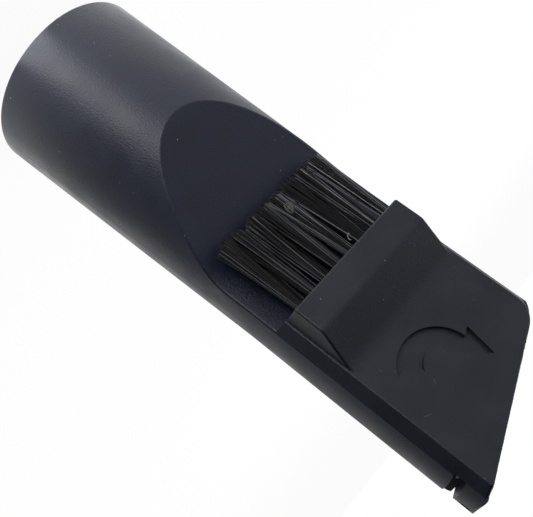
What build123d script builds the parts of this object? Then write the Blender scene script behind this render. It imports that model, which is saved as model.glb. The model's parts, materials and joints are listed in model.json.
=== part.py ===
"""Crevice nozzle with a flip-over dusting brush, for a vacuum cleaner tube.

The tube stands on its inlet rim: +Z runs along the tube towards the tip, the
brush side faces -Y, and the origin is the rim's centre. "along" is a distance
from the rim, "out" a distance from the tube's axis towards the brush side, and
"near" the +X side, where the slanted tip is longer. Lengths are millimetres.
"""
import os
from math import cos, radians, sin, sqrt, tan

from build123d import *

# Tube and nose
RIM_R = 17.5            # outer radius at the inlet rim
RIM_ROUND = 0.5
SOCKET_WALL = 1.04      # at its thinnest
SOCKET_DEPTH = 28.0     # how far the cleaner's tube goes in
NOSE_R = 16.3           # outer radius from the end of the taper to the tip
TAPER_END = 60.0
WALL = 1.8
FLAT_OUT = 5.0          # the nose's flat top
RAMP_LEAD = 1.6         # from the socket's floor to where the ramp starts
RAMP_RUN = 22.4
RAMP_ROUND = 12.0
TOP_EDGE_ROUND = 0.5
MITRE = 21.0            # angle of the slanted tip, degrees

# Brush holder, from the bristles' tips to its front edge
TIP_OVER_RAMP = 1.6     # how far the bristles reach past the end of the ramp
TUFT_FREE = 14.6        # bristles in front of the foot of the block
LIP_LEAN = 1.4          # the block's front face leans back by this
CREST = 5.5
SLOPE = 6.3
PLATE = 21.5            # from the foot of the slope to the front edge, on the tube's axis
SEAT_GAP = 0.15
PLATE_THICK = 2.1
PLATE_BEVEL = 1.5
PLATE_ROUND = 0.4
BLOCK_RISE = 5.05
BLOCK_INSET = 0.8       # block's sides inside the plate's, at its top
BLOCK_FOOT_INSET = 0.2
LIP_ROUND = 0.4
CREST_ROUND = 1.5
SLOPE_ROUND = 4.0
FAR_CORNER_R = 3.8
NEAR_CORNER_R = 0.5

# Hinge: the holder's ears hang outside the body's arms, on a pin at each side
HINGE_OUT = -3.0
HINGE_BACK = 1.6        # from the holder's front face to the pins
EAR_THICK = 1.9
EAR_BACK = 2.0          # rear edge of each ear, behind the pins
EAR_DROP = 1.8          # bottom of each ear, below the pins
EAR_ROUND = 0.8
EAR_FAR_R = 5.5
EAR_NEAR_R = 0.6
EAR_GAP = 0.15
MOUTH_BACK = 4.0        # the body's mouth, behind the pins
ARM = 1.5
ARM_ROOT = 4.0          # how far each arm runs back into the body
ARM_FOOT_DROP = 5.0     # the arm's wide foot, below the pins
ARM_FOOT_BACK = 1.9     # and its front, behind the pins
LUG_SETBACK = 0.1
PIN_R = 0.8
PIN_CLEARANCE = 0.05
PIN_RECESS = 0.6
PIN_RING = 0.35
PIN_RING_DEPTH = 0.25
STUD_R = 0.4
STUD_GAP = 0.3
STUD_DROP = 1.3

# Bristle tufts and their anchors
TUFT_R = 1.1
TUFT_PITCH = 3.2
TOP_ROW_BELOW = 2.6     # upper row, below the block's top
TOP_ROW_TILT = 1.6      # degrees, towards the tube
LOW_ROW_ABOVE = 2.0     # lower row, above the seat
LOW_ROW_TILT = -0.6
TUFT_DEPTH = 5.4
ANCHOR_THICK = 0.5
ANCHOR_CLEARANCE = 0.15

# Curved arrow sunk in the plate: places are (ahead of the tip, across to the far side)
ARROW_DEPTH = 0.8
ARROW_OUTER = (-11.1, -4.0, 6.9)    # centre and radius of the outer arc
ARROW_INNER = (-10.7, -3.1, 3.5)
ARROW_OUTER_ARC = (233.0, 91.0)     # degrees, tail to neck
ARROW_INNER_ARC = (237.0, 100.0)
ARROW_HEAD = [(-11.9, 4.5), (-6.0, 3.55), (-10.3, 0.0)]
ARROW_NOTCH = (-15.2, -6.7)

REACH = 60.0            # longer than any feature, for tools that cut right through
RAMP_START = SOCKET_DEPTH + RAMP_LEAD
RAMP_END = RAMP_START + RAMP_RUN
TUFT_TIP = RAMP_END - TIP_OVER_RAMP
LIP_BOTTOM = TUFT_TIP + TUFT_FREE
LIP_TOP = LIP_BOTTOM + LIP_LEAN
CREST_END = LIP_TOP + CREST
SLOPE_END = CREST_END + SLOPE
TIP_ALONG = SLOPE_END + PLATE
NOSE_END = TIP_ALONG + REACH * tan(radians(MITRE))
SEAT_OUT = FLAT_OUT + SEAT_GAP
PLATE_TOP = SEAT_OUT + PLATE_THICK
BLOCK_TOP = PLATE_TOP + BLOCK_RISE
SEAT_HALF = sqrt(NOSE_R ** 2 - SEAT_OUT ** 2)
PLATE_HALF = SEAT_HALF - PLATE_BEVEL
BLOCK_HALF = PLATE_HALF - BLOCK_INSET
BLOCK_FOOT_HALF = PLATE_HALF - BLOCK_FOOT_INSET
HINGE_ALONG = TIP_ALONG - HINGE_BACK / cos(radians(MITRE))
EAR_INNER = NOSE_R - EAR_THICK
ARM_OUTER = EAR_INNER - EAR_GAP
PIN_END = sqrt(NOSE_R ** 2 - HINGE_OUT ** 2) / cos(radians(MITRE)) - PIN_RECESS
STUD_BACK = MOUTH_BACK - STUD_R - STUD_GAP
TUFTS_ACROSS = int(2 * BLOCK_HALF / TUFT_PITCH)

SIDE = Plane(origin=(0, 0, 0), x_dir=(0, -1, 0), z_dir=(-1, 0, 0))
TOP = Plane(origin=(0, 0, 0), x_dir=(0, 0, 1), z_dir=(0, -1, 0))
HINGE = Plane(
    origin=(0, -HINGE_OUT, HINGE_ALONG),
    x_dir=(-sin(radians(MITRE)), 0, cos(radians(MITRE))),
    z_dir=(cos(radians(MITRE)), 0, sin(radians(MITRE))),
)


def outer_radius(along):
    """The tube's outer radius, before the ramp and the flat are cut."""
    return RIM_R - (RIM_R - NOSE_R) * min(along / TAPER_END, 1)


def side_prism(outline):
    """A prism across the whole part, from a sketch in (out, along)."""
    return extrude(SIDE * outline, amount=REACH, both=True)


def hinge_block(forward, up, sideways):
    """A block in the hinge's frame, from its three (low, high) spans."""
    spans = (forward, up, sideways)
    middle = [(low + high) / 2 for low, high in spans]
    return HINGE * Pos(*middle) * Box(*[high - low for low, high in spans])


def hinge_disc(radius, sideways):
    """A disc about the hinge's axis, over a (low, high) span."""
    low, high = sideways
    return HINGE * Pos(0, 0, (low + high) / 2) * Cylinder(radius, high - low)


def both_sides(inner, outer):
    """The near and far spans between two distances from the middle."""
    return (inner, outer), (-outer, -inner)


def tube_cylinder(radius, length):
    """A cylinder on the tube's axis, from the rim."""
    return Cylinder(radius, length, align=(Align.CENTER, Align.CENTER, Align.MIN))


def barrel():
    """The tapered outside of the tube and nose, solid and uncut."""
    profile = Polygon(
        (0, 0), (RIM_R, 0), (NOSE_R, TAPER_END), (NOSE_R, NOSE_END), (0, NOSE_END), align=None)
    return revolve(Plane.XZ * profile, axis=Axis.Z)


def top_cut(inset):
    """What the ramp and the flat take off, moved inwards by a wall."""
    run = RAMP_END - RAMP_START
    rise = outer_radius(RAMP_START) - FLAT_OUT
    low = FLAT_OUT - inset
    corner = RAMP_END - inset * (sqrt(run ** 2 + rise ** 2) - run) / rise
    back = corner - (REACH - low) * run / rise
    front = NOSE_END + REACH
    outline = Polygon((low, corner), (low, front), (REACH, front), (REACH, back), align=None)
    bend = outline.vertices().sort_by_distance((low, corner, 0))[0]
    return side_prism(fillet(bend, RAMP_ROUND + inset))


def outer_nose():
    """The solid outside of the body, with its edges rounded."""
    solid = barrel() - top_cut(0)
    across = solid.edges().filter_by(Axis.X)
    rims = [edge for edge in solid.edges() if edge not in across
            and edge.center().Y < TOP_EDGE_ROUND - FLAT_OUT
            and edge.center().Z < NOSE_END - TOP_EDGE_ROUND]
    solid = fillet(rims, TOP_EDGE_ROUND)
    inlet = solid.edges().filter_by(GeomType.CIRCLE).sort_by(Axis.Z)[0]
    return fillet(inlet, RIM_ROUND)


def nozzle_body():
    """The tube with its socket, ramp and flat nose, and the hinge arms at its mouth."""
    outside = outer_nose()
    duct = tube_cylinder(NOSE_R - WALL, NOSE_END) - top_cut(WALL)
    socket_radius = min(RIM_R, outer_radius(SOCKET_DEPTH)) - SOCKET_WALL
    body = outside - duct - tube_cylinder(socket_radius, SOCKET_DEPTH)
    body &= hinge_block((-2 * REACH, -MOUTH_BACK), (-REACH, REACH), (-REACH, REACH))
    for sideways in both_sides(ARM_OUTER - ARM, ARM_OUTER):
        root = -MOUTH_BACK - ARM_ROOT
        arm = hinge_block((root, 0), (LUG_SETBACK - HINGE_BACK, FLAT_OUT - HINGE_OUT), sideways)
        arm += hinge_block((root, -ARM_FOOT_BACK), (-ARM_FOOT_DROP, 0), sideways)
        body += (arm & outside) + hinge_disc(HINGE_BACK - LUG_SETBACK, sideways)
    return body - hinge_disc(PIN_R, (-REACH, REACH))


def hinge_pin(near):
    """A pin pressed in one of the body's arms, which the ear turns on."""
    spans = both_sides(ARM_OUTER - ARM, PIN_END)
    return hinge_disc(PIN_R, spans[0 if near else 1])


def lip_along(out):
    """Where the leaning front face of the tuft block is, at one height."""
    return LIP_BOTTOM + (LIP_TOP - LIP_BOTTOM) * (out - SEAT_OUT) / (BLOCK_TOP - SEAT_OUT)


def leaning_prism(low, high):
    """A prism along the tube with leaning sides, from two (half width, out) pairs."""
    half = [(width, -out) for width, out in (low, high)]
    mirrored = [(-width, out) for width, out in reversed(half)]
    return extrude(Polygon(*half, *mirrored, align=None), amount=NOSE_END, both=True)


def tuft_block():
    """The block that holds the tufts, with its slope down to the plate."""
    foot = SLOPE_END + SLOPE_ROUND
    outline = Polygon(
        (SEAT_OUT, LIP_BOTTOM), (BLOCK_TOP, LIP_TOP), (BLOCK_TOP, CREST_END),
        (PLATE_TOP, SLOPE_END), (PLATE_TOP, foot), (SEAT_OUT, foot), align=None)
    for out, along, radius in (
            (BLOCK_TOP, LIP_TOP, LIP_ROUND), (BLOCK_TOP, CREST_END, CREST_ROUND),
            (PLATE_TOP, SLOPE_END, SLOPE_ROUND)):
        corner = outline.vertices().sort_by_distance((out, along, 0))[0]
        outline = fillet(corner, radius)
    sides = leaning_prism((BLOCK_FOOT_HALF, SEAT_OUT), (BLOCK_HALF, BLOCK_TOP))
    block = side_prism(outline) & sides
    crown = [edge for edge in block.edges() if edge.center().Y < PLATE_ROUND - BLOCK_TOP
             and abs(edge.center().X) > BLOCK_HALF - PLATE_ROUND]
    return fillet(crown, PLATE_ROUND)


def plate():
    """The plate that closes the nose, with bevelled sides and a slanted front edge."""
    front = hinge_block((-2 * REACH, HINGE_BACK), (-REACH, REACH), (-REACH, REACH))
    spare = 2 * PLATE_THICK
    lean = spare * PLATE_BEVEL / PLATE_THICK
    wedge = front & leaning_prism(
        (SEAT_HALF + lean, SEAT_OUT - spare), (PLATE_HALF - lean, PLATE_TOP + spare))
    corners = wedge.faces().sort_by(Axis.Z)[-1].edges().sort_by(Axis.X)
    wedge = fillet(corners[-1], NEAR_CORNER_R)
    wedge = fillet(wedge.edges().sort_by_distance(corners[0].center())[0], FAR_CORNER_R)
    outline = Polygon(
        (SEAT_OUT, LIP_BOTTOM), (PLATE_TOP, lip_along(PLATE_TOP)),
        (PLATE_TOP, NOSE_END), (SEAT_OUT, NOSE_END), align=None)
    solid = wedge & side_prism(outline)
    crown = [edge for edge in solid.edges()
             if edge.center().Y < PLATE_ROUND / 2 - PLATE_TOP and edge.center().Z > SLOPE_END]
    return fillet(crown, PLATE_ROUND)


def ears():
    """The two ears that reach down from the plate to the hinge pins."""
    slant = NOSE_R * tan(radians(MITRE))
    near, far = (TIP_ALONG + slant, -NOSE_R), (TIP_ALONG - slant, NOSE_R)
    plan = Polygon((0, -NOSE_R), near, far, (0, NOSE_R), align=None)
    for corner, radius in ((near, EAR_NEAR_R), (far, EAR_FAR_R)):
        plan = fillet(plan.vertices().sort_by_distance((*corner, 0))[0], radius)
    below = Polygon(
        (-REACH, 0), (SEAT_OUT, 0), (SEAT_OUT, NOSE_END), (-REACH, NOSE_END), align=None)
    envelope = barrel() & side_prism(below) & extrude(TOP * plan, amount=REACH, both=True)
    profile = Polygon(
        (-EAR_BACK, -EAR_DROP), (HINGE_BACK, -EAR_DROP),
        (HINGE_BACK, SEAT_OUT - HINGE_OUT), (-EAR_BACK, SEAT_OUT - HINGE_OUT), align=None)
    profile = fillet(profile.vertices().group_by(Axis.Y)[0], EAR_ROUND)
    middle = hinge_block((-REACH, REACH), (-REACH, REACH), (-EAR_INNER, EAR_INNER))
    return (extrude(HINGE * profile, amount=REACH, both=True) & envelope) - middle


def studs():
    """Round-ended studs under the plate, just in front of the body's mouth."""
    pair = Part()
    top = SEAT_OUT - HINGE_OUT + SEAT_GAP
    for side in (-1, 1):
        place = HINGE * Pos(-STUD_BACK, top, side * (EAR_INNER + STUD_R))
        shank = Rot(90, 0, 0) * tube_cylinder(STUD_R, STUD_DROP)
        pair += place * shank + place * Pos(0, -STUD_DROP, 0) * Sphere(STUD_R)
    return pair


def arc_point(arc, degrees):
    """A point on one of the arrow's arcs."""
    along, across, radius = arc
    return along + radius * cos(radians(degrees)), across + radius * sin(radians(degrees))


def arrow():
    """The curved arrow's sunk shape, as a tool."""
    curves = []
    for arc, (start, end) in ((ARROW_OUTER, ARROW_OUTER_ARC), (ARROW_INNER, ARROW_INNER_ARC)):
        curves.append([arc_point(arc, angle) for angle in (start, (start + end) / 2, end)])
    outer, inner = curves
    outline = ThreePointArc(*outer) + Polyline(outer[-1], *ARROW_HEAD, inner[-1])
    outline += ThreePointArc(*inner) + Polyline(inner[0], ARROW_NOTCH, outer[0])
    sketch = TOP.offset(PLATE_TOP) * Pos(TIP_ALONG, 0) * make_face(outline)
    return extrude(sketch, amount=ARROW_DEPTH, both=True)


def tuft_rows():
    """Root point and direction of each tuft, top row first."""
    rows = [(TUFTS_ACROSS, BLOCK_TOP - TOP_ROW_BELOW, TOP_ROW_TILT),
            (TUFTS_ACROSS - 1, SEAT_OUT + LOW_ROW_ABOVE, LOW_ROW_TILT)]
    tufts = []
    for count, out, tilt in rows:
        for index in range(count):
            across = (index - (count - 1) / 2) * TUFT_PITCH
            direction = Vector(0, sin(radians(tilt)), -cos(radians(tilt)))
            tufts.append((Vector(across, -out, lip_along(out) + TUFT_DEPTH), direction))
    return tufts


def tuft_bundle(root, direction, extra=0.0):
    """A bundle of bristles from its root, or the hole for it with some extra depth."""
    length = (root.Z - TUFT_TIP) / -direction.Z
    start = root - direction * extra
    return extrude(Plane(origin=start, z_dir=direction) * Circle(TUFT_R), amount=length + extra)


def anchor(root, direction):
    """The flat wire that holds a folded tuft in its hole."""
    place = Plane(origin=root - direction * (ANCHOR_THICK / 2), x_dir=(1, 0, 0), z_dir=direction)
    wide = 2 * (TUFT_R - ANCHOR_CLEARANCE)
    return place * Box(wide, TUFT_R - ANCHOR_CLEARANCE, ANCHOR_THICK)


def brush_holder():
    """The flip-over holder: tuft block, plate with its arrow, ears and studs."""
    holder = plate() + tuft_block()
    holder += ears()
    holder += studs()
    holder -= hinge_disc(PIN_R + PIN_CLEARANCE, (-REACH, REACH))
    for sideways in both_sides(PIN_END - PIN_RING_DEPTH, REACH):
        holder -= hinge_disc(PIN_R + PIN_RING, sideways)
    for root, direction in tuft_rows():
        holder -= tuft_bundle(root, direction, ANCHOR_THICK)
    return holder - arrow()


def build():
    """Every sub-part by its name."""
    parts = {
        "nozzle_body": nozzle_body(),
        "brush_holder": brush_holder(),
        "near_hinge_pin": hinge_pin(True),
        "far_hinge_pin": hinge_pin(False),
        "tuft_anchors": Compound(children=[anchor(*tuft) for tuft in tuft_rows()]),
    }
    for number, tuft in enumerate(tuft_rows(), start=1):
        parts[f"bristle_tuft_{number:02d}"] = tuft_bundle(*tuft)
    return parts


def main():
    """Write one STEP file for each sub-part."""
    os.makedirs("parts", exist_ok=True)
    for name, shape in build().items():
        export_step(shape, f"parts/{name}.step")


if __name__ == "__main__":
    main()
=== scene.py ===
"""The looks of a crevice nozzle with a flip-over dusting brush.

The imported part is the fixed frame. It stands on its inlet rim, +Z runs along
the tube to the slanted tip, and the brush side faces -Y. Sizes in this file
are millimetres and angles are degrees, unless a name says otherwise. Blender
itself works in metres.
"""
import json
import logging
import math
import random
from dataclasses import dataclass, field
from enum import Enum
from typing import Any

import bpy
from mathutils import Euler, Matrix, Vector


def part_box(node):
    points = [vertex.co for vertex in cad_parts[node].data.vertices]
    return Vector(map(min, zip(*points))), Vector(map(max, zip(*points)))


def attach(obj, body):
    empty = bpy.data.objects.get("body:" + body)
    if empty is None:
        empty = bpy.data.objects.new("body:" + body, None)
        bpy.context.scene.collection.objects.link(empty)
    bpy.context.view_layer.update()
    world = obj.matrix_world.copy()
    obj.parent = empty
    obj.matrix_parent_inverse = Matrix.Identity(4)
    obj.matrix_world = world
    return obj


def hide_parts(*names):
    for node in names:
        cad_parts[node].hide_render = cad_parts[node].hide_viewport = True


MM = 0.001
SRGB_KNEE, SRGB_SLOPE, SRGB_LIFT, SRGB_POWER = 0.04045, 12.92, 0.055, 2.4   # of the sRGB curve
COLOUR_A, COLOUR_B, COLOUR_OUT = 6, 7, 2        # a Mix node's sockets when it mixes colours
NUMBER_A, NUMBER_B, NUMBER_OUT = 2, 3, 0        # and when it mixes numbers
ScratchEnds = tuple[tuple[float, float], tuple[float, float]]       # each end in (x, z)
LOG = logging.getLogger("brush_nozzle")

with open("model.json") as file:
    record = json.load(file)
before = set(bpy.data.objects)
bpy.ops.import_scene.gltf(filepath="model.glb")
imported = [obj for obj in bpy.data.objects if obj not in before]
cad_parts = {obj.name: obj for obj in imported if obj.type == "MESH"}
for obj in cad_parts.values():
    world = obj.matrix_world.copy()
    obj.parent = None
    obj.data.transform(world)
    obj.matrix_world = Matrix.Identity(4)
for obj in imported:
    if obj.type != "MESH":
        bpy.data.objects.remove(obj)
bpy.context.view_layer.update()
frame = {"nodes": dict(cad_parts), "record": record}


class Body(Enum):
    """The two bodies that the hinge joins."""

    NOZZLE = "nozzle"
    BRUSH = "brush"


class Slot(Enum):
    """The record's material slots."""

    BODY_PLASTIC = "body_plastic"
    HOLDER_PLASTIC = "holder_plastic"
    BRISTLE = "bristle"
    WIRE = "wire"
    PIN = "pin_steel"


def linear(hex_colour: str) -> tuple[float, float, float, float]:
    """Turn an sRGB hex colour to linear light.

    Args:
        hex_colour: six hex digits, such as "1f2026".

    Returns:
        Red, green, blue and an alpha of 1.
    """
    channels = [int(hex_colour[at:at + 2], 16) / 255 for at in (0, 2, 4)]
    red, green, blue = (
        level / SRGB_SLOPE if level <= SRGB_KNEE
        else ((level + SRGB_LIFT) / (1 + SRGB_LIFT)) ** SRGB_POWER for level in channels)
    return red, green, blue, 1.0


def per_metre(size: float) -> float:
    """The texture scale that gives features of a size."""
    return 1 / (size * MM)


def add_node(tree: bpy.types.NodeTree, kind: str, links: dict[Any, Any] | None = None,
             **settings: Any) -> bpy.types.Node:
    """Add a node with its settings and its inputs.

    Args:
        tree: the tree that gets the node.
        kind: Blender's name for the node's type.
        links: for each input, by name or place, the socket that feeds it or a plain value.
        settings: the node's own properties.

    Returns:
        The new node.
    """
    node = tree.nodes.new(kind)
    for name, value in settings.items():
        setattr(node, name, value)
    for key, value in (links or {}).items():
        if isinstance(value, bpy.types.NodeSocket):
            tree.links.new(value, node.inputs[key])
        else:
            node.inputs[key].default_value = value
    return node


def empty_material(name: str) -> bpy.types.Material:
    """Make a material with node shading and no nodes in it yet.

    Args:
        name: the material's name.

    Returns:
        The empty material.
    """
    material = bpy.data.materials.new(name)
    material.use_nodes = True
    material.node_tree.nodes.clear()
    return material


@dataclass(frozen=True)
class ArmPaintedShade:
    """Painted shade, black and rough, on the hinge arms, which are all that lies past the mouth."""

    way: tuple[float, float, float] = (-0.358368, 0.0, 0.93358)    # square to the slanted mouth
    mouth: float = 87.52            # how far the mouth is along that way

    def mask(self, tree: bpy.types.NodeTree, place: bpy.types.NodeSocket) -> bpy.types.NodeSocket:
        """Find the arms.

        Args:
            tree: the material's tree.
            place: object coordinates.

        Returns:
            A socket that is 1 on the arms and 0 behind the mouth.
        """
        gone = add_node(tree, "ShaderNodeVectorMath", {
            0: place, 1: self.way}, operation="DOT_PRODUCT").outputs["Value"]
        return add_node(tree, "ShaderNodeMath", {
            0: gone, 1: self.mouth * MM}, operation="GREATER_THAN").outputs[0]


@dataclass(frozen=True)
class ArrowPaintedShade:
    """Painted shade, black and rough, on the walls of the sunk arrow, which draws its outline."""

    centre: tuple[float, float, float] = (4.0, -6.82, 88.6)
    reach: float = 9.5              # takes in the whole arrow
    half_depth: float = 0.36        # stops short of the plate's face and of the arrow's floor

    def mask(self, tree: bpy.types.NodeTree, place: bpy.types.NodeSocket) -> bpy.types.NodeSocket:
        """Find the arrow's walls, inside a low drum that stands across the plate.

        Args:
            tree: the material's tree.
            place: object coordinates.

        Returns:
            A socket that is 1 on the walls and 0 elsewhere.
        """
        scale = Vector((1 / self.reach, 1 / self.half_depth, 1 / self.reach)) / MM
        from_centre = add_node(tree, "ShaderNodeVectorMath", {
            0: place, 1: -Vector(self.centre) * MM}).outputs[0]
        sized = add_node(tree, "ShaderNodeVectorMath", {
            0: from_centre, 1: scale}, operation="MULTIPLY").outputs[0]
        parts = add_node(tree, "ShaderNodeSeparateXYZ", {0: sized}).outputs
        level = add_node(tree, "ShaderNodeCombineXYZ", {0: parts["X"], 1: parts["Z"]}).outputs[0]
        off = add_node(tree, "ShaderNodeVectorMath", {
            0: level}, operation="LENGTH").outputs["Value"]
        high = add_node(tree, "ShaderNodeMath", {0: parts["Y"]}, operation="ABSOLUTE").outputs[0]
        most = add_node(tree, "ShaderNodeMath", {0: off, 1: high}, operation="MAXIMUM").outputs[0]
        return add_node(tree, "ShaderNodeMath", {
            0: most, 1: 1.0}, operation="LESS_THAN").outputs[0]


@dataclass(frozen=True)
class MouldedPlastic:
    """ABS, injection moulded in a spark-eroded mould.

    The eroded mould leaves a fine even grain, which gives the eye a soft
    broad highlight instead of a sharp one, with a faint sparkle in it.
    """

    name: str
    colour: str
    cloud_colour: str
    # painted shade: where it lies, and the black colour and high roughness that it paints there
    painted_shade: ArmPaintedShade | ArrowPaintedShade
    painted_shade_colour: str = "050507"
    painted_shade_roughness: float = 0.95
    roughness: float = 0.38
    roughness_swing: float = 0.05   # between what handling has polished and what it hasn't
    ior: float = 1.5
    grain: float = 0.3              # real grain is 0.1 mm, drawn coarser so that it shows
    grain_height: float = 0.065     # and taller than the real 0.02 mm, for the same reason
    grain_detail: float = 3.0
    cloud: float = 7.0              # size of the uneven patches that handling leaves
    cloud_detail: float = 4.0
    cloud_span: tuple[float, float] = (0.35, 0.65)
    speck_spacing: float = 1.5      # between the places that may hold a speck
    speck_radius: float = 0.08
    speck_share: float = 0.25       # of those places that do
    mark_colour: str = "84878d"     # of the palest specks and scratches
    mark_fade: float = 2.0          # a mark is gone this many times its half width from its middle
    scratch_width: float = 0.08
    scratch_strength: float = 0.2
    scratches: tuple[ScratchEnds, ...] = ()
    scratched_face: float = -7.25   # the y of the face that they are on

    def specks(self, tree: bpy.types.NodeTree,
               place: bpy.types.NodeSocket) -> bpy.types.NodeSocket:
        """Mask of dust specks.

        Args:
            tree: the material's tree.
            place: object coordinates.

        Returns:
            A socket from 0 to 1 on a speck, higher on a paler one, and 0 elsewhere.
        """
        cells = add_node(tree, "ShaderNodeTexVoronoi", {
            "Vector": place, "Scale": per_metre(self.speck_spacing)})
        share = self.speck_radius / self.speck_spacing
        near = add_node(tree, "ShaderNodeMapRange", {
            "Value": cells.outputs["Distance"], "From Min": self.mark_fade * share,
            "From Max": share})
        chance = add_node(tree, "ShaderNodeSeparateColor", {"Color": cells.outputs["Color"]})
        chosen = add_node(tree, "ShaderNodeMath", {
            0: chance.outputs["Red"], 1: self.speck_share}, operation="LESS_THAN")
        pale = add_node(tree, "ShaderNodeMath", {
            0: chosen.outputs[0], 1: chance.outputs["Green"]}, operation="MULTIPLY")
        return add_node(tree, "ShaderNodeMath", {
            0: near.outputs["Result"], 1: pale.outputs[0]}, operation="MULTIPLY").outputs[0]

    def scratch(self, tree: bpy.types.NodeTree, place: bpy.types.NodeSocket,
                ends: ScratchEnds) -> bpy.types.NodeSocket:
        """Mask of one fine scratch on the plate.

        Args:
            tree: the material's tree.
            place: object coordinates.
            ends: where it starts and ends, each in (x, z).

        Returns:
            A socket that is the scratch's strength on it and 0 elsewhere.
        """
        start, end = (Vector((x, self.scratched_face, z)) * MM for x, z in ends)
        to_end = (end - start) / (end - start).length_squared
        gone = add_node(tree, "ShaderNodeVectorMath", {0: place, 1: -start}).outputs[0]
        share = add_node(tree, "ShaderNodeVectorMath", {
            0: gone, 1: to_end}, operation="DOT_PRODUCT").outputs["Value"]
        held = add_node(tree, "ShaderNodeClamp", {0: share}).outputs[0]
        nearest = add_node(tree, "ShaderNodeVectorMath", {
            0: end - start, "Scale": held}, operation="SCALE").outputs[0]
        off = add_node(tree, "ShaderNodeVectorMath", {
            0: gone, 1: nearest}, operation="DISTANCE").outputs["Value"]
        half = self.scratch_width * MM / 2
        return add_node(tree, "ShaderNodeMapRange", {
            "Value": off, "From Min": self.mark_fade * half, "From Max": half,
            "To Max": self.scratch_strength}).outputs[0]

    def marks(self, tree: bpy.types.NodeTree, place: bpy.types.NodeSocket) -> bpy.types.NodeSocket:
        """Mask of all dust and scratches.

        Args:
            tree: the material's tree.
            place: object coordinates.

        Returns:
            A socket that is up to 1 on a mark and 0 elsewhere.
        """
        mask = self.specks(tree, place)
        for ends in self.scratches:
            mask = add_node(tree, "ShaderNodeMath", {
                0: mask, 1: self.scratch(tree, place, ends)}, operation="MAXIMUM").outputs[0]
        return mask

    def material(self) -> bpy.types.Material:
        """Build the shader.

        Returns:
            The finished material.
        """
        material = empty_material(self.name)
        tree = material.node_tree
        place = add_node(tree, "ShaderNodeTexCoord").outputs["Object"]
        cloud = add_node(tree, "ShaderNodeTexNoise", {
            "Vector": place, "Scale": per_metre(self.cloud), "Detail": self.cloud_detail})
        patch = add_node(tree, "ShaderNodeMapRange", {
            "Value": cloud.outputs["Fac"], "From Min": self.cloud_span[0],
            "From Max": self.cloud_span[1]}).outputs[0]
        tint = add_node(tree, "ShaderNodeMix", {
            0: patch, COLOUR_A: linear(self.colour), COLOUR_B: linear(self.cloud_colour)},
            data_type="RGBA").outputs[COLOUR_OUT]
        dusty = add_node(tree, "ShaderNodeMix", {
            0: self.marks(tree, place), COLOUR_A: tint, COLOUR_B: linear(self.mark_colour)},
            data_type="RGBA").outputs[COLOUR_OUT]
        sheen = add_node(tree, "ShaderNodeMapRange", {
            "Value": patch, "To Min": self.roughness - self.roughness_swing,
            "To Max": self.roughness + self.roughness_swing})
        # paints shade: black colour and high roughness where the mask is 1
        painted_shade = self.painted_shade.mask(tree, place)
        dull = add_node(tree, "ShaderNodeMix", {
            0: painted_shade, NUMBER_A: sheen.outputs["Result"],
            NUMBER_B: self.painted_shade_roughness}).outputs[NUMBER_OUT]
        dark = add_node(tree, "ShaderNodeMix", {
            0: painted_shade, COLOUR_A: dusty, COLOUR_B: linear(self.painted_shade_colour)},
            data_type="RGBA").outputs[COLOUR_OUT]
        grain = add_node(tree, "ShaderNodeTexNoise", {
            "Vector": place, "Scale": per_metre(self.grain), "Detail": self.grain_detail})
        bump = add_node(tree, "ShaderNodeBump", {
            "Height": grain.outputs["Fac"], "Distance": self.grain_height * MM})
        shader = add_node(tree, "ShaderNodeBsdfPrincipled", {
            "Base Color": dark, "Roughness": dull,
            "IOR": self.ior, "Normal": bump.outputs["Normal"]})
        add_node(tree, "ShaderNodeOutputMaterial", {"Surface": shader.outputs[0]})
        return material


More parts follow.
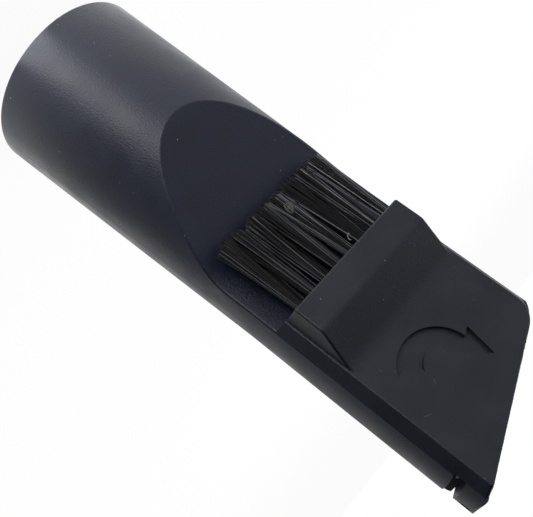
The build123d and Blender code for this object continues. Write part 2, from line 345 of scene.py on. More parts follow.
@dataclass(frozen=True)
class DrawnNylon:
    """Black nylon monofilament, drawn through a die.

    It is smooth and glossy, so here and there a filament gets a painted highlight, a thin pale line
    in its colour, while the rest stay black and shade each other.
    """

    name: str
    colour: str = "040405"
    painted_glint_colour: str = "9a9ca6"
    glint_share: float = 0.3        # of the filaments, picked at random, that get a painted glint
    glint_length: float = 9.0       # about how long a glint stays on a filament
    glint_span: tuple[float, float] = (0.25, 0.5)
    near_x: float = 13.0            # the painted glints are weakest on the tufts here and strongest on those at -near_x
    near_share: float = 0.3         # of its glint that a filament at near_x keeps
    roughness: float = 0.22
    ior: float = 1.53
    specular: float = 0.25          # half of a lone filament's, as they shade each other

    def painted_glints(self, tree: bpy.types.NodeTree) -> bpy.types.NodeSocket:
        """How much of its painted glint colour each place on a filament shows.

        Args:
            tree: the material's tree.

        Returns:
            A socket from 0 to 1.
        """
        place = add_node(tree, "ShaderNodeTexCoord").outputs["Object"]
        shade = add_node(tree, "ShaderNodeAttribute", attribute_name=BristleTufts.SHADE)
        glint_picked = add_node(tree, "ShaderNodeMapRange", {
            "Value": shade.outputs["Fac"], "From Min": 1 - self.glint_share}).outputs[0]
        broken = add_node(tree, "ShaderNodeTexNoise", {
            "Vector": place, "Scale": per_metre(self.glint_length)})
        length = add_node(tree, "ShaderNodeMapRange", {
            "Value": broken.outputs["Fac"], "From Min": self.glint_span[0],
            "From Max": self.glint_span[1]}).outputs[0]
        # painted light: the glints grow stronger from +X towards -X
        across = add_node(tree, "ShaderNodeSeparateXYZ", {0: place}).outputs["X"]
        far = add_node(tree, "ShaderNodeMapRange", {
            "Value": across, "From Min": self.near_x * MM, "From Max": -self.near_x * MM,
            "To Min": self.near_share}).outputs[0]
        both = add_node(tree, "ShaderNodeMath", {0: glint_picked, 1: length}, operation="MULTIPLY")
        return add_node(tree, "ShaderNodeMath", {
            0: both.outputs[0], 1: far}, operation="MULTIPLY").outputs[0]

    def material(self) -> bpy.types.Material:
        """Build the shader, which paints a pale highlight on the filaments that their own attribute
        picks.

        Returns:
            The finished material.
        """
        material = empty_material(self.name)
        tree = material.node_tree
        tint = add_node(tree, "ShaderNodeMix", {
            0: self.painted_glints(tree), COLOUR_A: linear(self.colour),
            COLOUR_B: linear(self.painted_glint_colour)}, data_type="RGBA").outputs[COLOUR_OUT]
        shader = add_node(tree, "ShaderNodeBsdfPrincipled", {
            "Base Color": tint, "Roughness": self.roughness, "IOR": self.ior,
            "Specular IOR Level": self.specular})
        add_node(tree, "ShaderNodeOutputMaterial", {"Surface": shader.outputs[0]})
        return material


@dataclass(frozen=True)
class Lint:
    """Cotton lint, spun and frayed, which is dull and soft to the eye."""

    name: str
    colour: str
    pale_colour: str
    fray: float = 0.2               # of the paler places; real fibres are 0.02 mm, too fine to show

    def material(self) -> bpy.types.Material:
        """Build the shader.

        Returns:
            The finished material.
        """
        material = empty_material(self.name)
        tree = material.node_tree
        place = add_node(tree, "ShaderNodeTexCoord").outputs["Object"]
        fray = add_node(tree, "ShaderNodeTexNoise", {
            "Vector": place, "Scale": per_metre(self.fray)})
        tint = add_node(tree, "ShaderNodeMix", {
            0: fray.outputs["Fac"], COLOUR_A: linear(self.colour),
            COLOUR_B: linear(self.pale_colour)}, data_type="RGBA").outputs[COLOUR_OUT]
        shader = add_node(tree, "ShaderNodeBsdfDiffuse", {"Color": tint})
        add_node(tree, "ShaderNodeOutputMaterial", {"Surface": shader.outputs[0]})
        return material


@dataclass(frozen=True)
class DrawnSteel:
    """Mild steel wire or pin stock, cold drawn, whose fine marks break up its shine."""

    name: str
    colour: str
    roughness: float = 0.35
    roughness_swing: float = 0.1
    mark: float = 0.2               # real ones are 0.02 mm apart, drawn coarser so that they show
    mark_detail: float = 2.0

    def material(self) -> bpy.types.Material:
        """Build the shader.

        Returns:
            The finished material.
        """
        material = empty_material(self.name)
        tree = material.node_tree
        place = add_node(tree, "ShaderNodeTexCoord").outputs["Object"]
        marks = add_node(tree, "ShaderNodeTexNoise", {
            "Vector": place, "Scale": per_metre(self.mark), "Detail": self.mark_detail})
        rough = add_node(tree, "ShaderNodeMapRange", {
            "Value": marks.outputs["Fac"], "To Min": self.roughness - self.roughness_swing,
            "To Max": self.roughness + self.roughness_swing})
        shader = add_node(tree, "ShaderNodeBsdfPrincipled", {
            "Base Color": linear(self.colour), "Metallic": 1.0,
            "Roughness": rough.outputs["Result"]})
        add_node(tree, "ShaderNodeOutputMaterial", {"Surface": shader.outputs[0]})
        return material


@dataclass
class HardParts:
    """The moulded parts, pins and anchors, which keep their own shapes."""

    finishes: dict[Slot, MouldedPlastic | DrawnSteel] = field(default_factory=lambda: {
        # each plastic carries painted shade: the body on its hinge arms, the holder on its sunk
        # arrow's walls
        Slot.BODY_PLASTIC: MouldedPlastic("moulded_abs_body", "10152a", "151b33", ArmPaintedShade()),
        Slot.HOLDER_PLASTIC: MouldedPlastic(
            "moulded_abs_holder", "131722", "191e2b", ArrowPaintedShade(), scratches=(
                ((12.0, 91.2), (11.1, 91.7)), ((6.3, 88.9), (6.6, 89.5)))),
        Slot.WIRE: DrawnSteel("drawn_wire", "b9bbbe"),
        Slot.PIN: DrawnSteel("blackened_steel", "2a2b2e"),
    })

    def dress(self) -> None:
        """Give each hard node the finish that its slot in the record asks for."""
        made = {slot.value: finish.material() for slot, finish in self.finishes.items()}
        for row in frame["record"]["subparts"]:
            material = made.get(row["material_slot"])
            if material is None:
                continue
            part = frame["nodes"][row["node"]]
            for place in part.material_slots:
                place.material = material
            LOG.info("%s: %s", part.name, material.name)


@dataclass
class BristleTufts:
    """The nylon bristles of all tufts, each tuft fanning out from its hole."""

    # a random number for each filament, which picks the ones that get a painted glint
    SHADE = "bristle_shade"
    TURN = math.pi * (3 - math.sqrt(5))     # radians from one bristle of a tuft to the next
    SECOND_DRAW = 5000.0                    # keeps a second random value apart from the first
    DRAWN_INPUT = {"FLOAT_VECTOR": 0, "FLOAT": 2}       # a Random Value node's first input

    finish: DrawnNylon = DrawnNylon("drawn_nylon_bristle")
    bristles: int = 56                  # in each tuft
    bristle_radius: float = 0.08
    held: float = 5.4                   # from a tuft's root to the mouth of its hole
    gather: float = 0.75                # how tight a tuft is at its hole, as a share of the hole
    fan: float = 0.9                    # how much wider a tuft gets at its tips, as a share
    lean: float = 0.45                  # how far a whole tuft bends aside
    stray: float = 0.35                 # how far one bristle leaves the others
    wild_share: float = 0.12            # of the bristles that leave the others further
    wild: float = 1.1                   # how far they do
    flat: float = 0.3                   # how far in and out, as a share of how far sideways
    bend_power: float = 1.5             # of the way along, so that a bristle curves
    uneven: float = 0.045               # spread of the lengths, as a share
    rings: int = 8                      # points along a bristle
    sides: int = 5
    seed: int = 23

    def nodes(self) -> list[str]:
        """The names of the tufts in the frame."""
        return sorted(name for name in frame["nodes"] if name.startswith("bristle_tuft_"))

    def tuft_ends(self, node: str) -> tuple[Vector, Vector]:
        """Where a tuft starts and ends.

        Args:
            node: the tuft's name in the frame.

        Returns:
            The middle of its root and the middle of its tip.
        """
        low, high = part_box(node)
        middle = (low.z + high.z) / 2
        points = [vertex.co for vertex in frame["nodes"][node].data.vertices]
        ends = []
        for end in ([p for p in points if p.z > middle], [p for p in points if p.z < middle]):
            corners = [[pick(p[axis] for p in end) for axis in range(3)] for pick in (min, max)]
            ends.append((Vector(corners[0]) + Vector(corners[1])) / 2)
        return ends[0], ends[1]

    def roots(self) -> bpy.types.Object:
        """Make a mesh with one point at each tuft's root, which stores the way to its tip.

        Returns:
            The object that the bristles grow from.
        """
        ends = [self.tuft_ends(node) for node in self.nodes()]
        mesh = bpy.data.meshes.new("bristles")
        mesh.from_pydata([root for root, _ in ends], [], [])
        reach = mesh.attributes.new("reach", "FLOAT_VECTOR", "POINT")
        reach.data.foreach_set("vector", [value for root, tip in ends for value in tip - root])
        grown = bpy.data.objects.new("bristles", mesh)
        bpy.context.scene.collection.objects.link(grown)
        return grown

    def sizes(self) -> dict[str, tuple[str, float]]:
        """List the tree's inputs.

        Returns:
            For each input's name, its kind and its value in metres, shares or counts.
        """
        low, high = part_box(self.nodes()[0])
        root, tip = self.tuft_ends(self.nodes()[0])
        return {
            "Bristles": ("NodeSocketInt", self.bristles),
            "Tuft Radius": ("NodeSocketFloat", self.gather * (high.x - low.x) / 2),
            "Bristle Radius": ("NodeSocketFloat", self.bristle_radius * MM),
            "Held Share": ("NodeSocketFloat", self.held * MM / (root - tip).length),
            "Fan": ("NodeSocketFloat", self.fan),
            "Lean": ("NodeSocketFloat", self.lean * MM),
            "Stray": ("NodeSocketFloat", self.stray * MM),
            "Wild Share": ("NodeSocketFloat", self.wild_share),
            "Wild": ("NodeSocketFloat", self.wild * MM),
            "Uneven": ("NodeSocketFloat", self.uneven),
            "Rings": ("NodeSocketInt", self.rings),
            "Sides": ("NodeSocketInt", self.sides),
            "Seed": ("NodeSocketInt", self.seed),
        }

    def start(self, tree: bpy.types.NodeTree, given: Any) -> bpy.types.NodeSocket:
        """Lay a straight curve for each bristle, in its place in its tuft.

        Args:
            tree: the tree that grows the bristles.
            given: the tree's inputs.

        Returns:
            The curves, which hold the attributes that bend() reads.
        """
        tufts = add_node(tree, "GeometryNodeMeshToPoints", {"Mesh": given["Geometry"]})
        index = add_node(tree, "GeometryNodeInputIndex").outputs[0]
        numbered = add_node(tree, "GeometryNodeStoreNamedAttribute", {
            "Geometry": tufts.outputs[0], "Name": "tuft", "Value": index}, data_type="INT")
        copies = add_node(tree, "GeometryNodeDuplicateElements", {
            "Geometry": numbered.outputs[0], "Amount": given["Bristles"]}, domain="POINT")
        count = copies.outputs["Duplicate Index"]
        share = add_node(tree, "ShaderNodeMath", {
            0: count, 1: given["Bristles"]}, operation="DIVIDE")
        root = add_node(tree, "ShaderNodeMath", {0: share.outputs[0]}, operation="SQRT")
        radius = add_node(tree, "ShaderNodeMath", {
            0: root.outputs[0], 1: given["Tuft Radius"]}, operation="MULTIPLY")
        tuft = add_node(tree, "GeometryNodeInputNamedAttribute", {"Name": "tuft"}, data_type="INT")
        angle = add_node(tree, "ShaderNodeMath", {
            0: count, 1: self.TURN, 2: tuft.outputs[0]}, operation="MULTIPLY_ADD")
        ways = [add_node(tree, "ShaderNodeMath", {0: angle.outputs[0]}, operation=way)
                for way in ("COSINE", "SINE")]
        round_ = add_node(tree, "ShaderNodeCombineXYZ", {
            "X": ways[0].outputs[0], "Y": ways[1].outputs[0]})
        spread = add_node(tree, "ShaderNodeVectorMath", {
            0: round_.outputs[0], "Scale": radius.outputs[0]}, operation="SCALE").outputs[0]
        placed = add_node(tree, "GeometryNodeSetPosition", {
            "Geometry": copies.outputs[0], "Offset": spread}).outputs[0]
        for name, value, kind in (
                ("spread", spread, "FLOAT_VECTOR"),
                ("aside", self.aside(tree, given, tuft.outputs[0]), "FLOAT_VECTOR"),
                ("length", self.length(tree, given), "FLOAT"),
                (self.SHADE, self.chance(tree, given, "FLOAT", (0.0, 1.0)), "FLOAT")):
            placed = add_node(tree, "GeometryNodeStoreNamedAttribute", {
                "Geometry": placed, "Name": name, "Value": value}, data_type=kind).outputs[0]
        line = add_node(tree, "GeometryNodeCurvePrimitiveLine", {"End": (0, 0, -MM)})
        points = add_node(tree, "GeometryNodeResampleCurve", {
            "Curve": line.outputs[0], "Count": given["Rings"]})
        each = add_node(tree, "GeometryNodeInstanceOnPoints", {
            "Points": placed, "Instance": points.outputs[0]})
        return add_node(tree, "GeometryNodeRealizeInstances", {
            "Geometry": each.outputs[0]}).outputs[0]

    def chance(self, tree: bpy.types.NodeTree, given: Any, kind: str,
               span: tuple[Any, Any], of: Any = None) -> bpy.types.NodeSocket:
        """Draw a random value, always the same for the same seed.

        Args:
            tree: the tree that grows the bristles.
            given: the tree's inputs.
            kind: FLOAT or FLOAT_VECTOR.
            span: the lowest and highest value.
            of: a socket that numbers what draws the value, or None for each point.

        Returns:
            The random value.
        """
        first = self.DRAWN_INPUT[kind]
        links = {first: span[0], first + 1: span[1], "Seed": given["Seed"]}
        if of is not None:
            links["ID"] = of
        drawn = add_node(tree, "FunctionNodeRandomValue", links, data_type=kind)
        return drawn.outputs[first // 2]        # each kind has two inputs and one output

    def numbered(self, tree: bpy.types.NodeTree) -> bpy.types.NodeSocket:
        """A number for each point, apart from the one that its stray draws with."""
        index = add_node(tree, "GeometryNodeInputIndex").outputs[0]
        return add_node(tree, "ShaderNodeMath", {0: index, 1: self.SECOND_DRAW}).outputs[0]

    def length(self, tree: bpy.types.NodeTree, given: Any) -> bpy.types.NodeSocket:
        """Draw each bristle's length.

        Args:
            tree: the tree that grows the bristles.
            given: the tree's inputs.

        Returns:
            The length, as a share of its tuft's.
        """
        drawn = self.chance(tree, given, "FLOAT", (0.0, 1.0))
        return add_node(tree, "ShaderNodeMapRange", {
            "Value": drawn, "To Min": 1.0,
            "To Max": add_node(tree, "ShaderNodeMath", {
                0: 1.0, 1: given["Uneven"]}, operation="SUBTRACT").outputs[0]}).outputs[0]

    def aside(self, tree: bpy.types.NodeTree, given: Any,
              tuft: bpy.types.NodeSocket) -> bpy.types.NodeSocket:
        """How far each tip goes aside: the lean of its tuft and its own stray.

        Args:
            tree: the tree that grows the bristles.
            given: the tree's inputs.
            tuft: a socket with the number of the bristle's tuft.

        Returns:
            The way the tip moves.
        """
        ends = ((-1.0, -self.flat, 0.0), (1.0, self.flat, 0.0))
        wild = add_node(tree, "ShaderNodeMath", {
            0: self.chance(tree, given, "FLOAT", (0.0, 1.0), of=self.numbered(tree)),
            1: given["Wild Share"]}, operation="LESS_THAN").outputs[0]
        stray = add_node(tree, "ShaderNodeMath", {
            0: wild, 1: given["Wild"], 2: given["Stray"]}, operation="MULTIPLY_ADD").outputs[0]
        parts = []
        for amount, of in ((given["Lean"], tuft), (stray, None)):
            drawn = self.chance(tree, given, "FLOAT_VECTOR", ends, of)
            parts.append(add_node(tree, "ShaderNodeVectorMath", {
                0: drawn, "Scale": amount}, operation="SCALE").outputs[0])
        return add_node(tree, "ShaderNodeVectorMath", dict(enumerate(parts))).outputs[0]

    def bend(self, tree: bpy.types.NodeTree, given: Any,
             curves: bpy.types.NodeSocket) -> bpy.types.NodeSocket:
        """Stretch the curves to their tips, and bend what is outside the holder.

        Args:
            tree: the tree that grows the bristles.
            given: the tree's inputs.
            curves: the straight curves from start().

        Returns:
            The bent curves.
        """
        along = add_node(tree, "GeometryNodeSplineParameter").outputs["Factor"]
        free = add_node(tree, "ShaderNodeMapRange", {
            "Value": along, "From Min": given["Held Share"]}).outputs[0]
        curved = add_node(tree, "ShaderNodeMath", {
            0: free, 1: self.bend_power}, operation="POWER").outputs[0]
        read = {name: add_node(tree, "GeometryNodeInputNamedAttribute", {"Name": name},
                               data_type=kind).outputs[0]
                for name, kind in (("spread", "FLOAT_VECTOR"), ("aside", "FLOAT_VECTOR"),
                                   ("reach", "FLOAT_VECTOR"), ("length", "FLOAT"))}
        gone = add_node(tree, "ShaderNodeMath", {
            0: along, 1: read["length"]}, operation="MULTIPLY").outputs[0]
        wide = add_node(tree, "ShaderNodeMath", {
            0: free, 1: given["Fan"]}, operation="MULTIPLY").outputs[0]
        moves = []
        for vector, amount in ((read["reach"], gone), (read["spread"], wide),
                               (read["aside"], curved)):
            moves.append(add_node(tree, "ShaderNodeVectorMath", {
                0: vector, "Scale": amount}, operation="SCALE").outputs[0])
        first = add_node(tree, "ShaderNodeVectorMath", {0: moves[0], 1: moves[1]})
        total = add_node(tree, "ShaderNodeVectorMath", {0: first.outputs[0], 1: moves[2]})
        return add_node(tree, "GeometryNodeSetPosition", {
            "Geometry": curves, "Offset": total.outputs[0]}).outputs[0]

    def tree(self, material: bpy.types.Material) -> bpy.types.NodeTree:
        """Build the tree that grows bristles on the tufts' roots.

        Args:
            material: the bristles' finish.

        Returns:
            The node group.
        """
        tree = bpy.data.node_groups.new("bristle_tufts", "GeometryNodeTree")
        tree.interface.new_socket("Geometry", in_out="INPUT", socket_type="NodeSocketGeometry")
        for name, (kind, _) in self.sizes().items():
            tree.interface.new_socket(name, in_out="INPUT", socket_type=kind)
        tree.interface.new_socket("Geometry", in_out="OUTPUT", socket_type="NodeSocketGeometry")
        given = add_node(tree, "NodeGroupInput").outputs
        bent = self.bend(tree, given, self.start(tree, given))
        profile = add_node(tree, "GeometryNodeCurvePrimitiveCircle", {
            "Resolution": given["Sides"], "Radius": given["Bristle Radius"]})
        swept = add_node(tree, "GeometryNodeCurveToMesh", {
            "Curve": bent, "Profile Curve": profile.outputs[0], "Fill Caps": True})
        real = add_node(tree, "GeometryNodeRealizeInstances", {"Geometry": swept.outputs[0]})
        dressed = add_node(tree, "GeometryNodeSetMaterial", {
            "Geometry": real.outputs[0], "Material": material})
        add_node(tree, "NodeGroupOutput", {0: dressed.outputs[0]})
        return tree

    def build(self) -> bpy.types.Object:
        """Grow the bristles, make them one plain mesh and set it on the brush.

        Returns:
            The bristles' object.
        """
        grown = self.roots()
        tree = self.tree(self.finish.material())
        modifier = grown.modifiers.new("grow", "NODES")
        modifier.node_group = tree
        keys = {item.name: item.identifier for item in tree.interface.items_tree
                if item.in_out == "INPUT"}
        for name, (_, value) in self.sizes().items():
            modifier[keys[name]] = value
        evaluated = grown.evaluated_get(bpy.context.evaluated_depsgraph_get())
        mesh = bpy.data.meshes.new_from_object(evaluated)
        grown.modifiers.remove(modifier)
        grown.data = mesh
        mesh.shade_smooth()
        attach(grown, Body.BRUSH.value)
        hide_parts(*self.nodes())
        LOG.info("%s: %d faces", grown.name, len(mesh.polygons))
        return grown


@dataclass(frozen=True)
class Thread:
    """One curled thread, whose path wanders about a place in slow waves."""

    place: tuple[float, float, float]
    span: float                         # how far it wanders
    turns: float                        # of the slowest wave
    radius: float
    seed: int
    waves: int = 2                      # along each axis, each faster than the one before
    strength: tuple[float, float] = (0.5, 1.0)      # a wave's least and most
    steps: int = 28
    sides: int = 5
    flatness: float = 0.45              # how far it wanders outwards, as a share of sideways

    def path(self) -> list[Vector]:
        """Draw the waves and follow them.

        Returns:
            The points along the thread.
        """
        draw = random.Random(self.seed)
        waves = [[(draw.uniform(*self.strength), draw.uniform(0.0, math.tau))
                  for _ in range(self.waves)] for _ in self.place]
        points = []
        for step in range(self.steps):
            angle = math.tau * self.turns * step / (self.steps - 1)
            offsets = [sum(size * math.sin(angle * (order + 1) + phase)
                           for order, (size, phase) in enumerate(axis)) / self.waves
                       for axis in waves]
            offsets[1] *= self.flatness
            points.append((Vector(self.place) + Vector(offsets) * self.span) * MM)
        return points

    def tube(self) -> tuple[list[Vector], list[tuple[int, ...]]]:
        """Sweep a round section along the path and close both ends.

        Returns:
            The corners and the faces, which face outwards.
        """
        path = self.path()
        side = Vector((0.0, 1.0, 0.0))
        corners: list[Vector] = []
        for at, point in enumerate(path):
            ahead = path[min(at + 1, len(path) - 1)] - path[max(at - 1, 0)]
            side = (side - side.project(ahead)).normalized()
            other = ahead.normalized().cross(side)
            for turn in range(self.sides):
                angle = math.tau * turn / self.sides
                way = side * math.cos(angle) + other * math.sin(angle)
                corners.append(point + way * self.radius * MM)
        faces: list[tuple[int, ...]] = [tuple(reversed(range(self.sides)))]
        for ring in range(len(path) - 1):
            low, high = ring * self.sides, (ring + 1) * self.sides
            for turn in range(self.sides):
                after = (turn + 1) % self.sides
                faces.append((low + turn, low + after, high + after, high + turn))
        faces.append(tuple(range(len(corners) - self.sides, len(corners))))
        return corners, faces


@dataclass
class CaughtLint:
    """Threads that the bristles have picked up, all of one finish."""

    name: str
    finish: Lint
    threads: tuple[Thread, ...]

    def build(self) -> bpy.types.Object:
        """Make all threads one mesh that rides with the brush.

        Returns:
            The lint's object.
        """
        corners: list[Vector] = []
        faces: list[tuple[int, ...]] = []
        for thread in self.threads:
            new_corners, new_faces = thread.tube()
            faces += [tuple(corner + len(corners) for corner in face) for face in new_faces]
            corners += new_corners
        mesh = bpy.data.meshes.new(self.name)
        mesh.from_pydata(corners, [], faces)
        mesh.materials.append(self.finish.material())
        mesh.shade_smooth()
        lint = bpy.data.objects.new(self.name, mesh)
        bpy.context.scene.collection.objects.link(lint)
        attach(lint, Body.BRUSH.value)
        LOG.info("%s: %d faces", lint.name, len(mesh.polygons))
        return lint


@dataclass
class BrushDebris:
    """All that the bristles hold: a crumpled tangle of lint and a curled filament."""

    tangle: CaughtLint = field(default_factory=lambda: CaughtLint(
        "lint_tangle", Lint("cotton_lint", "64665f", "85877f"), tuple(
            Thread(place=(-0.8, -11.3, 53.9), span=1.3, turns=1.2, radius=0.035, seed=seed)
            for seed in (1, 2, 3, 4))))
    filament: CaughtLint = field(default_factory=lambda: CaughtLint(
        "curled_filament", Lint("pale_filament", "7c7d85", "9c9da5"), (
            Thread(place=(-3.0, -11.6, 64.6), span=1.0, turns=0.5, radius=0.06, seed=4),)))

    def build(self) -> None:
        """Make both pieces."""
        for piece in (self.tangle, self.filament):
            piece.build()


@dataclass
class Lamp:
    """A soft rectangular lamp, which lights the part and isn't seen itself."""

    name: str
    centre: tuple[float, float, float]
    aim: tuple[float, float, float]
    size: tuple[float, float]
    power: float                    # watts

    def build(self) -> bpy.types.Object:
        """Make the lamp and turn it to its aim.

        Returns:
            The lamp's object.
        """
        light = bpy.data.lights.new(self.name, "AREA")
        light.shape = "RECTANGLE"
        light.size, light.size_y = (side * MM for side in self.size)
        light.energy = self.power
        lamp = bpy.data.objects.new(self.name, light)
        way = Vector(self.aim) - Vector(self.centre)
        lamp.rotation_euler = way.to_track_quat("-Z", "Y").to_euler()
        lamp.location = Vector(self.centre) * MM
        lamp.visible_camera = False
        bpy.context.scene.collection.objects.link(lamp)
        LOG.info("%s: %.2f W", self.name, self.power)
        return lamp


@dataclass(frozen=True)
class Wedge:
    """A way over the floor, and how something fades on both sides of it."""

    azimuth: float                  # from +X towards +Y
    inner: float                    # whole inside this angle from the middle
    outer: float                    # gone outside this one

    def share(self, tree: bpy.types.NodeTree, way: bpy.types.NodeSocket) -> bpy.types.NodeSocket:
        """How much of the wedge holds in a direction.

        Args:
            tree: the tree that gets the nodes.
            way: a unit vector along the floor.

        Returns:
            1 inside the wedge and 0 outside it.
        """
        middle = math.radians(self.azimuth)
        turn = add_node(tree, "ShaderNodeVectorMath", {
            0: way, 1: (math.cos(middle), math.sin(middle), 0.0)}, operation="DOT_PRODUCT")
        return add_node(tree, "ShaderNodeMapRange", {
            "Value": turn.outputs["Value"], "From Min": math.cos(math.radians(self.outer)),
            "From Max": math.cos(math.radians(self.inner))},
            interpolation_type="SMOOTHSTEP").outputs[0]


@dataclass(frozen=True)
class DimPatch:
    """A part of the floor where the painted pool of light is weaker."""

    wedge: Wedge
    share: float                    # taken off the pool's strength
    start: float                    # nothing taken off this near
    full: float                     # all taken off from here on


@dataclass
class Studio:
    """A white sweep that glows brightest round the part's foot, a painted pool of light, under a
    soft graded sky.

    Black satin plastic shows little but the surround that it mirrors, so the
    surround's grading is what models its shapes.
    """

    floor_half: float = 3000.0
    floor_drop: float = 0.02        # keeps the floor off the rim's end face
    paper: str = "f4f4f4"           # the floor's colour, which takes the shadow
    white_share: float = 0.95       # of the floor's colour that a shadow doesn't reach
    pool: float = 1.5               # strength of the painted pool of light, a glow on the floor round the foot
    pool_radius: float = 27.0       # where it has that strength
    pool_fade: float = -0.34        # power of the distance that the pool fades with
    covered: float = 17.0           # radius of the floor inside the rim, which gives no light
    dims: tuple[DimPatch, ...] = (
        DimPatch(Wedge(-12.0, 18.0, 78.0), share=0.9, start=5.0, full=50.0),     # near side
        DimPatch(Wedge(-118.0, 25.0, 60.0), share=0.38, start=60.0, full=220.0),    # brush side
    )
    key: Wedge = Wedge(-70.5, 6.0, 16.0)        # bright strip towards the viewer's left, painted as glow on the floor in place of a lamp
    key_strength: float = 2.8
    sky_level: float = 0.55         # square to the dark way
    sky_fall: float = 0.6           # how much darker straight along it
    sky_dark_way: tuple[float, float, float] = (0.8, -0.1, 0.6)
    lamps: tuple[Lamp, ...] = (
        Lamp("back_softbox", centre=(-350.0, 420.0, 520.0), aim=(0.0, 0.0, 40.0),
             size=(300.0, 300.0), power=4.0),
    )

    def floor_strength(self, tree: bpy.types.NodeTree,
                       place: bpy.types.NodeSocket) -> bpy.types.NodeSocket:
        """The sweep's strength, as the part sees it.

        Args:
            tree: the floor's tree.
            place: object coordinates.

        Returns:
            The strength, 1 being white.
        """
        distance = add_node(tree, "ShaderNodeVectorMath", {0: place}, operation="LENGTH")
        way = add_node(tree, "ShaderNodeVectorMath", {0: place}, operation="NORMALIZE").outputs[0]
        radii = add_node(tree, "ShaderNodeMath", {
            0: distance.outputs["Value"], 1: self.pool_radius * MM}, operation="DIVIDE")
        fade = add_node(tree, "ShaderNodeMath", {
            0: radii.outputs[0], 1: self.pool_fade}, operation="POWER")
        kept = self.pool
        for patch in self.dims:
            away = add_node(tree, "ShaderNodeMapRange", {
                "Value": distance.outputs["Value"], "From Min": patch.start * MM,
                "From Max": patch.full * MM, "To Max": -patch.share})
            kept = add_node(tree, "ShaderNodeMath", {
                0: patch.wedge.share(tree, way), 1: away.outputs[0], 2: kept},
                operation="MULTIPLY_ADD").outputs[0]
        spread = add_node(tree, "ShaderNodeMath", {
            0: kept, 1: fade.outputs[0]}, operation="MULTIPLY")
        return add_node(tree, "ShaderNodeMath", {
            0: self.key.share(tree, way), 1: self.key_strength, 2: spread.outputs[0]},
            operation="MULTIPLY_ADD").outputs[0]

    def sky_strength(self, tree: bpy.types.NodeTree,
                     way: bpy.types.NodeSocket) -> bpy.types.NodeSocket:
        """The sky's strength in a direction, as the part sees it.

        Args:
            tree: the world's tree.
            way: the direction.

        Returns:
            The strength, 1 being white.
        """
        turn = add_node(tree, "ShaderNodeVectorMath", {
            0: way, 1: self.sky_dark_way}, operation="DOT_PRODUCT")
        return add_node(tree, "ShaderNodeMath", {
            0: turn.outputs["Value"], 1: -self.sky_fall, 2: self.sky_level},
            operation="MULTIPLY_ADD").outputs[0]

    def white_where_seen(self, tree: bpy.types.NodeTree,
                         strength: bpy.types.NodeSocket) -> bpy.types.NodeSocket:
        """Keep the backdrop white to the camera and through glass.

        Reflections see the graded strength instead, as that is what shapes
        the black plastic to the eye.

        Args:
            tree: the floor's or the world's tree.
            strength: what the part itself sees.

        Returns:
            The strength, 1 to the camera.
        """
        ray = add_node(tree, "ShaderNodeLightPath").outputs
        seen = add_node(tree, "ShaderNodeMath", {
            0: ray["Is Camera Ray"], 1: ray["Is Transmission Ray"]}, operation="MAXIMUM")
        return add_node(tree, "ShaderNodeMix", {
            0: seen.outputs[0], NUMBER_A: strength, NUMBER_B: 1.0}).outputs[NUMBER_OUT]

    def sky(self) -> None:
        """Make the world, white to the camera and graded to the part."""
        world = bpy.data.worlds.new("surround")
        world.use_nodes = True
        tree = world.node_tree
        tree.nodes.clear()
        way = add_node(tree, "ShaderNodeTexCoord").outputs["Generated"]
        strength = self.white_where_seen(tree, self.sky_strength(tree, way))
        light = add_node(tree, "ShaderNodeBackground", {
            "Color": linear("ffffff"), "Strength": strength})
        add_node(tree, "ShaderNodeOutputWorld", {"Surface": light.outputs[0]})
        bpy.context.scene.world = world

    def floor(self) -> bpy.types.Object:
        """Make the pale floor, which keeps a faint shadow of the part.

        Returns:
            The floor's object.
        """
        half = self.floor_half * MM
        corners = [(-half, -half), (half, -half), (half, half), (-half, half)]
        mesh = bpy.data.meshes.new("floor")
        mesh.from_pydata([(x, y, 0.0) for x, y in corners], [], [range(len(corners))])
        material = empty_material("white_sweep")
        tree = material.node_tree
        place = add_node(tree, "ShaderNodeTexCoord").outputs["Object"]
        strength = self.white_where_seen(tree, self.floor_strength(tree, place))
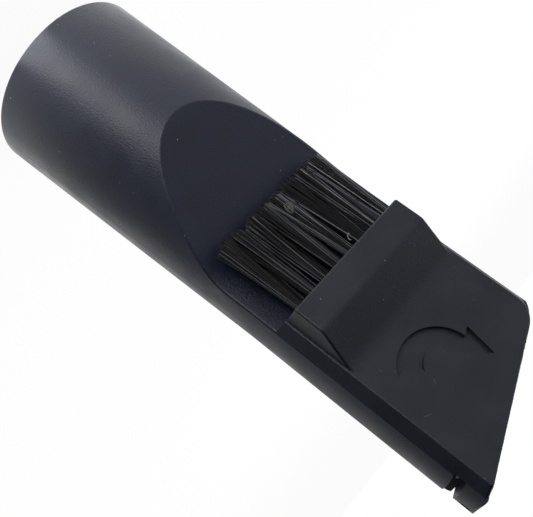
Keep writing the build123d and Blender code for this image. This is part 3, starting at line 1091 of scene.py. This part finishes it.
        # inside the rim the floor has no glow, to the camera too: a painted shadow under the tube
        distance = add_node(tree, "ShaderNodeVectorMath", {0: place}, operation="LENGTH")
        outside = add_node(tree, "ShaderNodeMath", {
            0: distance.outputs["Value"], 1: self.covered * MM}, operation="GREATER_THAN")
        open_strength = add_node(tree, "ShaderNodeMath", {
            0: strength, 1: outside.outputs[0]}, operation="MULTIPLY")
        glow = add_node(tree, "ShaderNodeEmission", {"Strength": open_strength.outputs[0]})
        paper = add_node(tree, "ShaderNodeBsdfDiffuse", {"Color": linear(self.paper)})
        seen = add_node(tree, "ShaderNodeLightPath").outputs["Is Camera Ray"]
        shaded = add_node(tree, "ShaderNodeMath", {
            0: seen, 1: 1 - self.white_share}, operation="MULTIPLY")
        both = add_node(tree, "ShaderNodeMixShader", {
            0: shaded.outputs[0], 1: glow.outputs[0], 2: paper.outputs[0]})
        add_node(tree, "ShaderNodeOutputMaterial", {"Surface": both.outputs[0]})
        mesh.materials.append(material)
        floor = bpy.data.objects.new("floor", mesh)
        floor.location.z = -self.floor_drop * MM
        bpy.context.scene.collection.objects.link(floor)
        return floor

    def build(self) -> None:
        """Set up the world, the floor and the lamps."""
        self.sky()
        self.floor()
        for lamp in self.lamps:
            lamp.build()


@dataclass
class Viewpoint:
    """The photograph's camera, looking past the near side at the brush, and rolled."""

    aim: tuple[float, float, float] = (4.37, 0.0, 53.55)
    distance: float = 143.0
    azimuth: float = 21.46
    elevation: float = 16.51
    roll: float = 127.44
    lens: float = 55.2              # for a sensor 36 mm wide

    def build(self) -> bpy.types.Object:
        """Make the camera and hand it to the scene.

        Returns:
            The camera's object.
        """
        data = bpy.data.cameras.new("camera")
        data.lens = self.lens
        data.sensor_fit = "HORIZONTAL"
        data.clip_start = MM
        camera = bpy.data.objects.new("camera", data)
        turn = Euler((math.radians(90 - self.elevation), 0, math.radians(self.azimuth)))
        rolled = turn.to_matrix() @ Matrix.Rotation(math.radians(self.roll), 3, "Z")
        back = rolled.col[2]
        place = (Vector(self.aim) + back * self.distance) * MM
        camera.matrix_world = Matrix.LocRotScale(place, rolled, None)
        bpy.context.scene.collection.objects.link(camera)
        bpy.context.scene.camera = camera
        return camera


def main() -> None:
    """Dress the part, grow its bristles and set up the studio."""
    logging.basicConfig(level=logging.INFO, format="%(name)s: %(message)s")
    bpy.context.scene.view_settings.view_transform = "Standard"
    HardParts().dress()
    BristleTufts().build()
    BrushDebris().build()
    Studio().build()
    Viewpoint().build()


if __name__ == "__main__":
    main()
